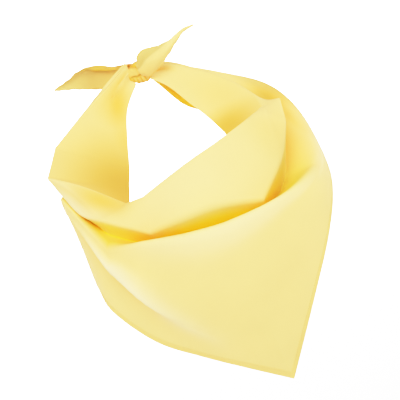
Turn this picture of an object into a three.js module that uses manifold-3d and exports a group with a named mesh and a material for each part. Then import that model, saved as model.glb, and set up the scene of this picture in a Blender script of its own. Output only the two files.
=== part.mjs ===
import * as THREE from "three";
import { mergeVertices } from "three/addons/utils/BufferGeometryUtils.js";
import Module from "manifold-3d";

// A neckerchief as it is worn: a hemmed triangle of thin cloth laid round the neck with its long edge
// turned in, one deep fold under the collar, the point hanging in front and the long corners knotted
// at the nape. The origin is the middle of the neck opening, the neck runs along Z and the front is -Y.

// Driving sizes in millimetres.
const wall = 1.2;
const clearance = 0.35;
const openingRadius = 64;
const collarFlare = 50;
const napeRise = 70;
const turnIn = 60;
const collarHeight = 75;
const foldDepth = 40;
const bibSwing = 30;
const bibDrop = 225;
const bendRadius = 9;
const creaseHeight = 9;
const pleatHeight = 1.4;
const hemWidth = 9;
const hemWall = 1;
const knotWidth = 32;
const knotDepth = 24;
const knotHeight = 25;
const wrapRelief = 2.2;
const knotAside = 2;
const knotSink = 2;
const tailWall = 1.2;
const leftTailLength = 100;
const leftTailWidth = 28;
const rightTailLength = 82;
const rightTailWidth = 26;

// How finely the solids are faceted.
const stepsPerSection = 4;
const stepsPerRun = 2;
const stepsPerBend = 3;
const knotStepsRound = 28;
const knotStepsAcross = 14;
const stepsPerTailRow = 3;
const stepsAcrossTail = 6;

// One row for each section round the neck. turn is the angle from the front, to the wearer's left when
// positive. Each fold line is placed from the one before it, out from the neck and down, in shares:
//   inner      out: openingRadius           down: turnIn, under the neck edge
//   neck       out: collarFlare             up:   napeRise, over the origin
//   collar     out: collarFlare             down: collarHeight
//   tuck       out: foldDepth               down: foldDepth
//   ridge      out: foldDepth               down: foldDepth
//   belly      out: bibSwing                down: bibDrop
//   hem        out: bibSwing                down: bibDrop
// soft is the share of the bend radii that the cloth keeps there, and corner names the fold lines that turn
// a sharp corner there instead of running on in a curve.
const columns = [
  "turn", "innerOut", "innerDown", "neckOut", "neckUp", "collarOut", "collarDown", "tuckOut", "tuckDown",
  "ridgeOut", "ridgeDown", "bellyOut", "bellyDown", "hemOut", "hemDown", "soft", "corner",
];
const sections = [
  [-173, 1.05, 0.43, 0.08, 1.14, 0.10, -0.01, 0.12, 0.10, 0.10, 0.22, 0.03, 0.03, -0.03, 0.03, 1.0, ""],
  [-152, 0.98, 0.55, 0.38, 0.95, 0.28, 0.06, 0.30, 0.35, 0.25, 0.50, 0.23, 0.07, 0.20, 0.06, 1.0, ""],
  [-132, 0.95, 0.88, 0.66, 0.79, 0.40, 0.17, 0.45, 0.58, 0.45, 0.72, 0.43, 0.16, -0.23, 0.13, 0.7, ""],
  [-112, 0.94, 0.87, 1.50, 0.44, 0.02, 0.25, 0.28, 0.60, 0.20, 0.75, 0.07, 0.16, 0.10, 0.20, 0.4, "neck"],
  [-92, 1.03, 0.88, 1.58, 0.21, -0.08, 0.30, -0.20, 0.33, 0.25, -0.20, 0.00, 0.25, 0.23, 0.32, 0.3,
    "neck collar"],
  [-75, 1.22, 0.97, 0.72, -0.04, 0.38, 0.34, -0.33, 0.47, 0.42, -0.42, 0.00, 0.17, 0.37, 0.38, 0.3, ""],
  [-57, 1.19, 0.75, 0.26, -0.50, 0.76, 0.00, -0.10, 0.53, 0.38, 0.09, 0.00, 0.15, -0.23, 0.44, 0.25,
    "neck collar ridge"],
  [-38, 1.11, 0.80, 0.32, -0.41, 0.34, 0.52, -0.50, 0.75, 1.10, -0.90, 0.27, 0.35, -0.73, 0.39, 0.4,
    "neck collar"],
  [-14, 1.00, 0.97, 0.26, -0.24, 0.66, 0.56, -0.85, 1.07, 1.12, -0.90, 0.10, 0.44, -0.67, 0.44, 1.0, ""],
  [8, 0.97, 0.93, 0.28, -0.14, 0.66, 0.69, -0.88, 1.15, 1.18, -0.88, 0.07, 0.39, -0.70, 0.61, 1.0, "hem"],
  [38, 1.02, 0.75, 0.34, -0.10, 0.56, 1.07, -0.65, 0.62, 1.27, -0.78, 0.10, 0.24, -0.53, 0.36, 0.5,
    "collar"],
  [60, 1.02, 0.60, 0.60, -0.09, 0.58, 0.68, -0.53, 1.07, 1.02, -0.35, 0.13, 0.15, -0.30, 0.20, 0.4, ""],
  [76, 0.98, 0.38, 0.82, -0.14, 0.60, 0.28, -0.50, 1.18, 0.90, 0.25, 0.10, 0.10, -0.10, 0.11, 0.3,
    "collar"],
  [90, 0.97, 0.18, 1.02, -0.24, 0.46, -0.04, -0.35, 0.95, 0.82, 0.65, 0.07, 0.10, -0.03, 0.07, 0.3,
    "neck collar"],
  [104, 0.91, 0.13, 1.14, -0.10, 0.18, 0.15, 0.17, 0.50, 0.65, 0.00, 0.07, 0.14, -0.03, 0.07, 0.6, ""],
  [122, 0.89, 0.25, 1.06, 0.21, 0.18, 0.16, 0.28, 0.42, 0.68, -0.08, 0.23, 0.15, 0.03, 0.08, 1.0, ""],
  [140, 0.95, 0.42, 0.78, 0.54, 0.20, 0.11, 0.28, 0.25, 0.47, 0.12, 0.33, 0.14, 0.10, 0.08, 1.0, ""],
  [158, 1.02, 0.35, 0.54, 0.83, 0.12, 0.05, 0.15, 0.12, 0.20, 0.17, 0.17, 0.11, -0.03, 0.15, 1.0, ""],
  [171, 1.05, 0.22, 0.06, 0.94, 0.10, -0.03, 0.12, 0.10, 0.10, 0.15, 0.03, 0.03, -0.03, 0.03, 1.0, ""],
].map((row) => Object.fromEntries(columns.map((name, i) => [name, row[i]])));

// Creases pressed into the cloth, a row for each: from a turn and a fold line to another, the lines
// counted from inner at 0, with the height as a share of creaseHeight and the half width in fold lines.
const creaseColumns = ["fromTurn", "fromLine", "toTurn", "toLine", "height", "width"];
const creases = [
  [-60, 4.15, -30, 5.45, 0.45, 0.26],
  [-88, 4.80, -44, 5.40, -0.45, 0.28],
  [-92, 1.10, -58, 1.85, 0.35, 0.20],
  [88, 1.20, 60, 1.85, 0.30, 0.20],
].map((row) => Object.fromEntries(creaseColumns.map((name, i) => [name, row[i]])));
// A crease starts and ends with this share of its length to rise in.
const creaseTaper = 0.1;

// The cloth turns round each fold line on a bend of this many bend radii, less by soft at all but the belly.
const bendOf = { neck: 0.45, collar: 1, tuck: 0.7, ridge: 3.0, belly: 2.4 };
// A bend takes no more than this share of the run on each side of it.
const mostOfRun = 0.45;
const lineNames = ["inner", "neck", "collar", "tuck", "ridge", "belly", "hem"];

const radians = (degrees) => (degrees * Math.PI) / 180;
const smooth = (t) => t * t * (3 - 2 * t);
const clamp01 = (t) => Math.min(1, Math.max(0, t));

function placed(turn, out, up) {
  return new THREE.Vector3(out * Math.sin(radians(turn)), -out * Math.cos(radians(turn)), up);
}

// The seven fold lines' points at one section.
function foldPoints(row) {
  const innerOut = row.innerOut * openingRadius;
  const neckOut = innerOut + row.neckOut * collarFlare;
  const neckUp = row.neckUp * napeRise;
  const collarOut = neckOut + row.collarOut * collarFlare;
  const collarUp = neckUp - row.collarDown * collarHeight;
  const tuckOut = collarOut + row.tuckOut * foldDepth;
  const tuckUp = collarUp - row.tuckDown * foldDepth;
  const ridgeOut = tuckOut + row.ridgeOut * foldDepth;
  const ridgeUp = tuckUp - row.ridgeDown * foldDepth;
  const bellyOut = ridgeOut + row.bellyOut * bibSwing;
  const bellyUp = ridgeUp - row.bellyDown * bibDrop;
  const hemOut = bellyOut + row.hemOut * bibSwing;
  const hemUp = bellyUp - row.hemDown * bibDrop;
  return {
    inner: placed(row.turn, innerOut, neckUp - row.innerDown * turnIn),
    neck: placed(row.turn, neckOut, neckUp),
    collar: placed(row.turn, collarOut, collarUp),
    tuck: placed(row.turn, tuckOut, tuckUp),
    ridge: placed(row.turn, ridgeOut, ridgeUp),
    belly: placed(row.turn, bellyOut, bellyUp),
    hem: placed(row.turn, hemOut, hemUp),
  };
}

// A smooth line through the sections' points, broken at the sharp corners.
function foldLine(name) {
  const points = sections.map((row) => foldPoints(row)[name]);
  const breaks = sections.flatMap((row, i) => (row.corner.split(" ").includes(name) ? [i] : []));
  const ends = [0, ...breaks, sections.length - 1];
  const line = [points[0]];
  for (let k = 1; k < ends.length; k += 1) {
    const stretch = points.slice(ends[k - 1], ends[k] + 1);
    const curve = new THREE.CatmullRomCurve3(stretch, false, "centripetal");
    const steps = (stretch.length - 1) * stepsPerSection;
    for (let i = 1; i <= steps; i += 1) {
      line.push(curve.getPoint(i / steps));
    }
  }
  return line;
}

// The cloth's path at one place round the neck: straight runs between the fold lines and a bend at each.
function clothPath(points, soft) {
  const path = [points[0].clone()];
  let start = points[0];
  for (let j = 1; j < points.length - 1; j += 1) {
    const name = lineNames[j];
    const reach = bendOf[name] * bendRadius * (name === "belly" ? 1 : soft);
    const back = points[j - 1].clone().sub(points[j]);
    const ahead = points[j + 1].clone().sub(points[j]);
    const into = points[j].clone().add(back.setLength(Math.min(reach, mostOfRun * back.length())));
    const outOf = points[j].clone().add(ahead.setLength(Math.min(reach, mostOfRun * ahead.length())));
    for (let k = 1; k <= stepsPerRun; k += 1) {
      path.push(start.clone().lerp(into, k / stepsPerRun));
    }
    const bend = new THREE.QuadraticBezierCurve3(into, points[j], outOf);
    for (let k = 1; k <= stepsPerBend; k += 1) {
      path.push(bend.getPoint(k / stepsPerBend));
    }
    start = outOf;
  }
  const hem = points[points.length - 1];
  const run = hem.clone().sub(start);
  const stitchLine = hem.clone().sub(run.setLength(Math.min(hemWidth, mostOfRun * run.length())));
  for (let k = 1; k <= stepsPerRun; k += 1) {
    path.push(start.clone().lerp(stitchLine, k / stepsPerRun));
  }
  path.push(hem.clone());
  return path;
}

// Each grid row's place among the fold lines: 0 at the inner edge, 1 at the neck edge and so on. A bend
// takes up bendHalf on each side of its line.
const bendHalf = 0.2;
function rowPlaces() {
  const places = [0];
  for (let line = 1; line < lineNames.length; line += 1) {
    const start = places[places.length - 1];
    const isHem = line === lineNames.length - 1;
    const end = line - bendHalf;
    for (let k = 1; k <= stepsPerRun; k += 1) {
      places.push(start + ((end - start) * k) / stepsPerRun);
    }
    for (let k = 1; k <= stepsPerBend && !isHem; k += 1) {
      places.push(end + (2 * bendHalf * k) / stepsPerBend);
    }
  }
  places.push(lineNames.length - 1);
  return places;
}

// Normals of a grid of points, from the lines that cross at each.
function gridNormals(grid) {
  const columnsIn = grid.length;
  const rowsIn = grid[0].length;
  return grid.map((column, i) => column.map((_, j) => {
    const across = grid[Math.min(i + 1, columnsIn - 1)][j].clone().sub(grid[Math.max(i - 1, 0)][j]);
    const along = grid[i][Math.min(j + 1, rowsIn - 1)].clone().sub(grid[i][Math.max(j - 1, 0)]);
    return along.cross(across).normalize();
  }));
}

// Round the neck, this many degrees count as far as the run from one fold line to the next.
const degreesPerLine = 40;
// The gathers fade in towards the knot over these angles, with so many pleats to each fold line.
const gatherStart = 128;
const gatherSpan = 30;
const pleatsPerLine = 1.3;

// How far the creases and the gathers at the knot lift the cloth at a place.
function relief(turn, place) {
  let lift = 0;
  for (const crease of creases) {
    const span = [(crease.toTurn - crease.fromTurn) / degreesPerLine, crease.toLine - crease.fromLine];
    const offset = [(turn - crease.fromTurn) / degreesPerLine, place - crease.fromLine];
    const t = clamp01((offset[0] * span[0] + offset[1] * span[1]) / (span[0] ** 2 + span[1] ** 2));
    const aside = Math.hypot(offset[0] - t * span[0], offset[1] - t * span[1]);
    const fade = Math.sin(Math.PI * (creaseTaper + (1 - 2 * creaseTaper) * t));
    lift += crease.height * creaseHeight * fade * Math.exp(-((aside / crease.width) ** 2));
  }
  const nearKnot = smooth(clamp01((Math.abs(turn) - gatherStart) / gatherSpan));
  return lift + pleatHeight * nearKnot * Math.cos(place * pleatsPerLine * 2 * Math.PI);
}

// A column's value between two sections' values.
function between(key, column) {
  const section = Math.min(Math.floor(column / stepsPerSection), sections.length - 2);
  const share = column / stepsPerSection - section;
  return THREE.MathUtils.lerp(sections[section][key], sections[section + 1][key], share);
}

// The middle surface of the cloth, a column of points for each step round the neck.
function clothGrid() {
  const lines = lineNames.map(foldLine);
  const raw = lines[0].map((_, i) => clothPath(lines.map((line) => line[i]), between("soft", i)));
  const normals = gridNormals(raw);
  const places = rowPlaces();
  return raw.map((column, i) => {
    const turn = between("turn", i);
    return column.map((point, j) => point.clone().addScaledVector(normals[i][j], relief(turn, places[j])));
  });
}

// A closed wall of cloth on a grid of points, offset to both sides along the normals.
function sheetGeometry(grid, normals, outside, inside) {
  const columnsIn = grid.length;
  const rowsIn = grid[0].length;
  const lastColumn = columnsIn - 1;
  const lastRow = rowsIn - 1;
  const positions = [];
  for (const offset of [outside, inside]) {
    grid.forEach((column, i) => column.forEach((point, j) => {
      positions.push(...point.clone().addScaledVector(normals[i][j], offset).toArray());
    }));
  }
  const at = (side, i, j) => side * columnsIn * rowsIn + i * rowsIn + j;
  const index = [];
  const quad = (a, b, c, d) => index.push(a, b, c, a, c, d);
  for (let i = 0; i < columnsIn - 1; i += 1) {
    for (let j = 0; j < rowsIn - 1; j += 1) {
      quad(at(0, i, j), at(0, i, j + 1), at(0, i + 1, j + 1), at(0, i + 1, j));
      quad(at(1, i, j), at(1, i + 1, j), at(1, i + 1, j + 1), at(1, i, j + 1));
    }
    quad(at(0, i, 0), at(0, i + 1, 0), at(1, i + 1, 0), at(1, i, 0));
    quad(at(0, i + 1, lastRow), at(0, i, lastRow), at(1, i, lastRow), at(1, i + 1, lastRow));
  }
  for (let j = 0; j < rowsIn - 1; j += 1) {
    quad(at(0, 0, j + 1), at(0, 0, j), at(1, 0, j), at(1, 0, j + 1));
    quad(at(0, lastColumn, j), at(0, lastColumn, j + 1), at(1, lastColumn, j + 1), at(1, lastColumn, j));
  }
  const geometry = new THREE.BufferGeometry();
  geometry.setAttribute("position", new THREE.Float32BufferAttribute(positions, 3));
  geometry.setIndex(index);
  return geometry;
}

// The knot: a squashed ball with the ridges of the cloth wrapped round it, grown by a margin on request.
// The ridges lie wrapsAcross to the half turn, slant by wrapSlant turns and waver by wrapWaver.
const wrapsAcross = 3;
const wrapSlant = 2;
const wrapWaver = 0.9;
const knotFullness = 0.75;
function knotGeometry(margin) {
  const positions = [];
  const index = [];
  const half = [knotWidth / 2 + margin, knotDepth / 2 + margin, knotHeight / 2 + margin];
  const at = (i, j) => 2 + (j - 1) * knotStepsRound + (i % knotStepsRound);
  const last = knotStepsAcross - 1;
  positions.push(-half[0], 0, 0, half[0], 0, 0);
  for (let j = 1; j <= last; j += 1) {
    const across = (Math.PI * j) / knotStepsAcross;
    for (let i = 0; i < knotStepsRound; i += 1) {
      const round = (2 * Math.PI * i) / knotStepsRound;
      const phase = wrapsAcross * across + wrapWaver * Math.sin(round) + wrapSlant * round;
      const wraps = wrapRelief * Math.sin(across) * Math.cos(phase);
      const swell = Math.sin(across) ** knotFullness;
      positions.push(
        -half[0] * Math.cos(across),
        (half[1] + wraps) * swell * Math.sin(round),
        (half[2] + wraps) * swell * Math.cos(round),
      );
    }
  }
  for (let i = 0; i < knotStepsRound; i += 1) {
    index.push(0, at(i, 1), at(i + 1, 1));
    index.push(1, at(i + 1, last), at(i, last));
    for (let j = 1; j < last; j += 1) {
      index.push(at(i, j), at(i + 1, j + 1), at(i + 1, j), at(i, j), at(i, j + 1), at(i + 1, j + 1));
    }
  }
  const geometry = new THREE.BufferGeometry();
  geometry.setAttribute("position", new THREE.Float32BufferAttribute(positions, 3));
  geometry.setIndex(index);
  return geometry;
}

const knotRise = 0.91;
const knotBack = openingRadius + knotDepth / 2 - knotSink;
const knotPlace = new THREE.Vector3(knotAside, knotBack, napeRise * knotRise);

// The two loose corners, a row for each cross section from the knot to the point. along and rise are
// shares of the tail's length, back of its width, half of its width on each side of the middle and
// cup how far the middle is pressed in.
const tailColumns = ["along", "rise", "back", "half", "cup"];
const leftTailRows = [
  [0.00, 0.05, 0.05, 0.22, 0.10],
  [0.10, 0.06, 0.32, 0.28, 0.12],
  [0.21, 0.03, 0.78, 0.38, 0.20],
  [0.35, 0.025, 1.12, 0.54, 0.28],
  [0.48, 0.07, 1.18, 0.53, 0.26],
  [0.59, 0.12, 1.04, 0.48, 0.22],
  [0.70, 0.155, 0.82, 0.38, 0.18],
  [0.81, 0.175, 0.61, 0.22, 0.10],
  [0.92, 0.20, 0.39, 0.11, 0.04],
  [1.00, 0.22, 0.21, 0.04, 0.00],
];
const rightTailRows = [
  [0.00, 0.06, -0.44, 0.30, -0.14],
  [0.09, 0.08, -0.50, 0.50, -0.20],
  [0.19, 0.14, -0.54, 0.57, -0.24],
  [0.31, 0.155, -0.54, 0.47, -0.25],
  [0.46, 0.18, -0.38, 0.30, -0.20],
  [0.62, 0.23, -0.23, 0.16, -0.10],
  [0.80, 0.295, -0.04, 0.09, -0.04],
  [0.98, 0.29, 0.15, 0.05, 0.00],
];

function tailGeometry(rows, side, length, width) {
  const named = rows.map((row) => Object.fromEntries(tailColumns.map((name, i) => [name, row[i]])));
  const centre = new THREE.CatmullRomCurve3(named.map((row) => new THREE.Vector3(
    knotPlace.x + side * row.along * length,
    knotPlace.y + row.back * width,
    knotPlace.z + row.rise * length,
  )));
  const steps = (named.length - 1) * stepsPerTailRow;
  const grid = [];
  for (let i = 0; i <= steps; i += 1) {
    const place = Math.min(i / stepsPerTailRow, named.length - 1);
    const row = Math.min(Math.floor(place), named.length - 2);
    const share = smooth(place - row);
    const half = width * THREE.MathUtils.lerp(named[row].half, named[row + 1].half, share);
    const cup = width * THREE.MathUtils.lerp(named[row].cup, named[row + 1].cup, share);
    const ahead = centre.getTangent(i / steps);
    const up = new THREE.Vector3(0, 0, 1).addScaledVector(ahead, -ahead.z).normalize();
    const backwards = new THREE.Vector3().crossVectors(up, ahead).multiplyScalar(side);
    const column = [];
    for (let j = 0; j <= stepsAcrossTail; j += 1) {
      const across = (2 * j) / stepsAcrossTail - 1;
      column.push(centre.getPoint(i / steps)
        .addScaledVector(up, across * half)
        .addScaledVector(backwards, cup * (1 - across * across)));
    }
    grid.push(side > 0 ? column.reverse() : column);
  }
  return sheetGeometry(grid, gridNormals(grid), tailWall / 2, -tailWall / 2);
}

const wasm = await Module();
wasm.setup();

function solidOf(geometry) {
  const merged = mergeVertices(geometry);
  return new wasm.Manifold(new wasm.Mesh({
    numProp: 3,
    vertProperties: new Float32Array(merged.attributes.position.array),
    triVerts: new Uint32Array(merged.index.array),
  }));
}

function geometryOf(solid) {
  const mesh = solid.getMesh();
  const geometry = new THREE.BufferGeometry();
  geometry.setAttribute("position", new THREE.Float32BufferAttribute(mesh.vertProperties, 3));
  geometry.setIndex(Array.from(mesh.triVerts));
  return geometry;
}

const cotton = new THREE.MeshStandardMaterial({ color: 0xf3e48f, roughness: 0.85, metalness: 0 });
const turnedHem = new THREE.MeshStandardMaterial({ color: 0xeed67c, roughness: 0.88, metalness: 0 });

const group = new THREE.Group();

function addPiece(name, geometry, material) {
  const mesh = new THREE.Mesh(geometry, material);
  mesh.name = name;
  group.add(mesh);
}

const grid = clothGrid();
const normals = gridNormals(grid);
const grownKnot = solidOf(knotGeometry(clearance)).translate(knotPlace.toArray());
const tip = sections.findIndex((row) => row.corner.includes("hem")) * stepsPerSection;

// The hem strip lies inside the cloth, between the stitch line and the edge.
function hemGeometry(first, last) {
  const strip = (columnsOf) => columnsOf.slice(first, last + 1).map((column) => column.slice(-2));
  const face = -wall / 2 - clearance;
  return sheetGeometry(strip(grid), strip(normals), face, face - hemWall);
}

// Edges left by the knot's cut that are shorter than this are closed up.
const shortestEdge = 0.02;
function addTrimmed(name, geometry, material) {
  const trimmed = solidOf(geometry).subtract(grownKnot).simplify(shortestEdge);
  addPiece(name, geometryOf(trimmed), material);
}

addTrimmed("scarf_body", sheetGeometry(grid, normals, wall / 2, -wall / 2), cotton);
addPiece("hem_left", hemGeometry(stepsPerSection, tip - 1), turnedHem);
addPiece("hem_right", hemGeometry(tip + 1, grid.length - 1 - stepsPerSection), turnedHem);

const knot = new THREE.Mesh(knotGeometry(0), cotton);
knot.name = "knot";
knot.position.copy(knotPlace);
group.add(knot);

addTrimmed("tail_left", tailGeometry(leftTailRows, -1, leftTailLength, leftTailWidth), cotton);
addTrimmed("tail_right", tailGeometry(rightTailRows, 1, rightTailLength, rightTailWidth), cotton);

export default group;
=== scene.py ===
"""Looks of a neckerchief in its worn form: pale yellow cotton, one deep fold, knotted at the nape."""

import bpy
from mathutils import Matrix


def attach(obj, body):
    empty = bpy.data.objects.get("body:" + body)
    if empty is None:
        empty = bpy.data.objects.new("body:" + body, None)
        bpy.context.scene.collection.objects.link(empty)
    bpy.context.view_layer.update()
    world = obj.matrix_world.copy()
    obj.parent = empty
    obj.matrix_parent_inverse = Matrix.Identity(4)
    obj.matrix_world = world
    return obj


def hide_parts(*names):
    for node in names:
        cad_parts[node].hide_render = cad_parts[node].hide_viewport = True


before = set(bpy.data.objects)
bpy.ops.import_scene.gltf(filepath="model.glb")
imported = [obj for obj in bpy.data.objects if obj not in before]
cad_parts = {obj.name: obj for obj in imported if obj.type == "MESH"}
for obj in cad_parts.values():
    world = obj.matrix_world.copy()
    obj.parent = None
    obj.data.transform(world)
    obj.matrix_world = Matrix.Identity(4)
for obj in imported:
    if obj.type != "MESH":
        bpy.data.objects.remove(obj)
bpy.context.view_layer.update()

import math

import bpy
import numpy as np
from bpy.props import FloatProperty, FloatVectorProperty, PointerProperty
from mathutils import Matrix, Vector

bl_info = {
    "name": "Neckerchief",
    "version": (1, 0, 0),
    "blender": (4, 5, 0),
    "location": "View3D > Sidebar > Neckerchief",
    "description": "Builds a worn, knotted cotton neckerchief",
    "category": "Add Mesh",
}

MM = 0.001

# One row for each section round the neck. turn is the angle from the front. Each fold line is placed from
# the one before it, out from the neck and down, in shares of the sizes of the cloth:
#   inner  opening_radius, turn_in      neck   collar_flare, nape_rise     collar  collar_flare, collar_height
#   tuck and ridge  fold_depth          belly and hem  bib_swing, bib_drop
SECTION_COLUMNS = (
    "turn", "inner_out", "inner_down", "neck_out", "neck_up", "collar_out", "collar_down", "tuck_out",
    "tuck_down", "ridge_out", "ridge_down", "belly_out", "belly_down", "hem_out", "hem_down", "soft", "corner",
)
SECTIONS = [dict(zip(SECTION_COLUMNS, row)) for row in (
    (-173, 1.05, 0.43, 0.08, 1.14, 0.10, -0.01, 0.12, 0.10, 0.10, 0.22, 0.03, 0.03, -0.03, 0.03, 1.0, ""),
    (-152, 0.98, 0.55, 0.38, 0.95, 0.28, 0.06, 0.30, 0.35, 0.25, 0.50, 0.23, 0.07, 0.20, 0.06, 1.0, ""),
    (-132, 0.95, 0.88, 0.66, 0.79, 0.40, 0.17, 0.45, 0.58, 0.45, 0.72, 0.43, 0.16, -0.23, 0.13, 0.7, ""),
    (-112, 0.94, 0.87, 1.50, 0.44, 0.02, 0.25, 0.28, 0.60, 0.20, 0.75, 0.07, 0.16, 0.10, 0.20, 0.4, "neck"),
    (-92, 1.03, 0.88, 1.58, 0.21, -0.08, 0.30, -0.20, 0.33, 0.25, -0.20, 0.00, 0.25, 0.23, 0.32, 0.3,
     "neck collar"),
    (-75, 1.22, 0.97, 0.72, -0.04, 0.38, 0.34, -0.33, 0.47, 0.42, -0.42, 0.00, 0.17, 0.37, 0.38, 0.3, ""),
    (-57, 1.19, 0.75, 0.26, -0.50, 0.76, 0.00, -0.10, 0.53, 0.38, 0.20, 0.00, 0.15, -0.23, 0.44, 0.25,
     "neck collar ridge"),
    (-38, 1.11, 0.80, 0.32, -0.41, 0.34, 0.52, -0.50, 0.75, 1.10, -0.90, 0.27, 0.35, -0.73, 0.39, 0.4,
     "neck collar"),
    (-14, 1.00, 0.97, 0.26, -0.24, 0.66, 0.56, -0.85, 1.07, 1.12, -0.90, 0.10, 0.44, -0.67, 0.44, 1.0, ""),
    (8, 0.97, 0.93, 0.28, -0.14, 0.66, 0.69, -0.88, 1.15, 1.18, -0.88, 0.07, 0.39, -0.70, 0.61, 1.0, "hem"),
    (38, 1.02, 0.75, 0.34, -0.10, 0.56, 1.07, -0.65, 0.62, 1.27, -0.78, 0.10, 0.24, -0.53, 0.36, 0.5, "collar"),
    (60, 1.02, 0.60, 0.60, -0.09, 0.58, 0.68, -0.53, 1.07, 1.02, -0.35, 0.13, 0.15, -0.30, 0.20, 0.4, ""),
    (76, 0.98, 0.38, 0.82, -0.14, 0.60, 0.28, -0.50, 1.18, 0.90, 0.25, 0.10, 0.10, -0.10, 0.11, 0.3, "collar"),
    (90, 0.97, 0.18, 1.02, -0.24, 0.46, -0.04, -0.35, 0.95, 0.82, 0.65, 0.07, 0.10, -0.03, 0.07, 0.3,
     "neck collar"),
    (104, 0.91, 0.13, 1.14, -0.10, 0.18, 0.15, 0.17, 0.50, 0.65, 0.00, 0.07, 0.14, -0.03, 0.07, 0.6, ""),
    (122, 0.89, 0.25, 1.06, 0.21, 0.18, 0.16, 0.28, 0.42, 0.68, -0.08, 0.23, 0.15, 0.03, 0.08, 1.0, ""),
    (140, 0.95, 0.42, 0.78, 0.54, 0.20, 0.11, 0.28, 0.25, 0.47, 0.12, 0.33, 0.14, 0.10, 0.08, 1.0, ""),
    (158, 1.02, 0.35, 0.54, 0.83, 0.12, 0.05, 0.15, 0.12, 0.20, 0.17, 0.17, 0.11, -0.03, 0.15, 1.0, ""),
    (171, 1.05, 0.22, 0.06, 0.94, 0.10, -0.03, 0.12, 0.10, 0.10, 0.15, 0.03, 0.03, -0.03, 0.03, 1.0, ""),
)]
LINES = ("inner", "neck", "collar", "tuck", "ridge", "belly", "hem")
# How many bend radii the cloth takes to turn at each line, and the steps on the run before each line.
BENDS = {"neck": 0.45, "collar": 1.0, "tuck": 0.7, "ridge": 3.0, "belly": 2.4}
RUN_STEPS = {"neck": 12, "collar": 16, "tuck": 9, "ridge": 9, "belly": 14, "hem": 24}
BEND_STEPS, HEM_STEPS, STEPS_PER_SECTION = 10, 3, 14
# The share of a run that a bend may take at most, and half of what a bend takes up between two fold lines.
MOST_OF_RUN = 0.45
BEND_HALF = 0.2

# Creases pressed into the cloth: from a turn and a fold line (0 is inner) to another, the height as a
# share of crease_height, the half width in fold lines, how sharp the crest is (2 soft, 1 sharp), and the
# painted light it carries and how strong: a painted highlight along a crest, painted warm shade in a groove.
# A lap is a step, where the cloth on one side lies over the other, with painted warm shade on its low side.
CREASE_COLUMNS = (
    "kind", "from_turn", "from_line", "to_turn", "to_line", "height", "width", "crest", "tint", "strength",
)
CREASES = [dict(zip(CREASE_COLUMNS, row)) for row in (
    ("lap", -88, 4.62, -40, 5.16, 0.70, 0.20, 1.0, "painted_warm_shade", 1.0),
    ("crest", -72, 4.55, -26, 5.45, 0.75, 0.16, 1.3, "pale", 1.0),
    ("crest", -92, 1.10, -58, 1.85, 0.40, 0.16, 1.0, "pale", 0.5),
    ("crest", 88, 1.15, 58, 1.80, 0.55, 0.16, 1.0, "pale", 0.1),
    ("crest", 69, 3.25, 77, 4.40, -0.35, 0.14, 1.5, "painted_warm_shade", 0.2),
    ("lap", -176, 0.66, -134, 0.52, 0.30, 0.24, 1.0, "painted_warm_shade", 0.9),
    ("crest", 170, 0.66, 154, 0.70, -0.30, 0.08, 1.5, "painted_warm_shade", 0.9),
)]
# How wide a lap's step is, in fold lines. How far a crease stands at its ends, as a share of half a turn. How
# many degrees round the neck count as one fold line.
LAP_EDGE = 0.03
CREASE_TAPER = 0.1
DEGREES_PER_LINE = 40
# Light and shade painted into the cloth's colour, one kind for each colour of the finish: pale is a painted
# highlight where ridges and fold edges face the light, deep is painted bounce light in the middle of the fold,
# where light goes round many times, the warm shade kind is painted warm shade where light goes from one layer
# to the next, and shade is painted shade where a layer keeps light out. Each has the middle's turn and fold
# line, how far it reaches in degrees and fold lines, and how strong it is.
PAINTED_LIGHT_COLUMNS = ("kind", "turn", "line", "turn_reach", "line_reach", "strength")
PAINTED_LIGHT_SPOTS = [dict(zip(PAINTED_LIGHT_COLUMNS, row)) for row in (
    ("painted_warm_shade", -98, 0.05, 30, 0.60, 0.95),
    ("shade", -96, 0.05, 28, 0.50, 0.58),
    ("painted_warm_shade", -128, 0.00, 24, 0.35, 0.60),
    ("painted_warm_shade", -148, 0.35, 16, 0.45, 0.85),
    ("painted_warm_shade", -66, 1.35, 15, 0.32, 0.80),
    ("shade", -68, 1.35, 14, 0.28, 0.12),
    ("painted_warm_shade", -58, 2.55, 26, 0.50, 0.75),
    ("deep", -66, 3.15, 34, 0.55, 0.95),
    ("painted_warm_shade", -54, 3.45, 15, 0.55, 0.85),
    ("shade", -60, 3.60, 18, 0.40, 0.22),
    ("painted_warm_shade", 52, 2.65, 18, 0.55, 0.65),
    ("painted_warm_shade", 100, 3.60, 12, 0.45, 0.65),
    ("painted_warm_shade", 121, 3.90, 12, 0.50, 0.35),
    ("painted_warm_shade", 68, 1.65, 12, 0.40, 0.25),
    ("painted_warm_shade", 118, 0.50, 28, 0.50, 0.30),
    ("pale", 10, 4.05, 62, 0.28, 0.55),
    ("pale", -5, 1.40, 50, 0.40, 0.12),
    ("pale", 88, 4.40, 18, 0.60, 0.70),
    ("pale", -78, 1.80, 16, 0.40, 0.70),
    ("shade", 121, 3.90, 12, 0.50, 0.30),
    ("painted_warm_shade", 95, 0.10, 18, 0.65, 1.00),
    ("shade", 94, 0.10, 15, 0.50, 0.50),
    ("deep", 160, 5.90, 15, 1.20, 0.80),
    ("painted_warm_shade", 162, 5.90, 14, 1.20, 0.35),
    ("painted_warm_shade", 112, 3.30, 14, 1.00, 0.95),
    ("shade", 112, 3.10, 8, 0.60, 0.50),
    ("painted_warm_shade", 85, 3.10, 22, 0.70, 0.75),
    ("shade", 62, 2.70, 14, 1.00, 0.35),
)]
# Painted bounce light in the fold under the collar: the fold lines and the turns between which it lies, how
# fast it fades, and how strong it is.
FOLD_FROM, FOLD_TO, FOLD_FADE = 2.25, 3.85, 0.15
FOLD_TURNS, FOLD_TURN_FADE = (-100, 70), 12
FOLD_BOUNCE_LIGHT = 1.0
# The gathers at the knot: the turn where they start, the degrees they take to grow and how many they are.
GATHER_START, GATHER_SPAN = 128, 30
PLEATS_PER_LINE = 1.3

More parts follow.
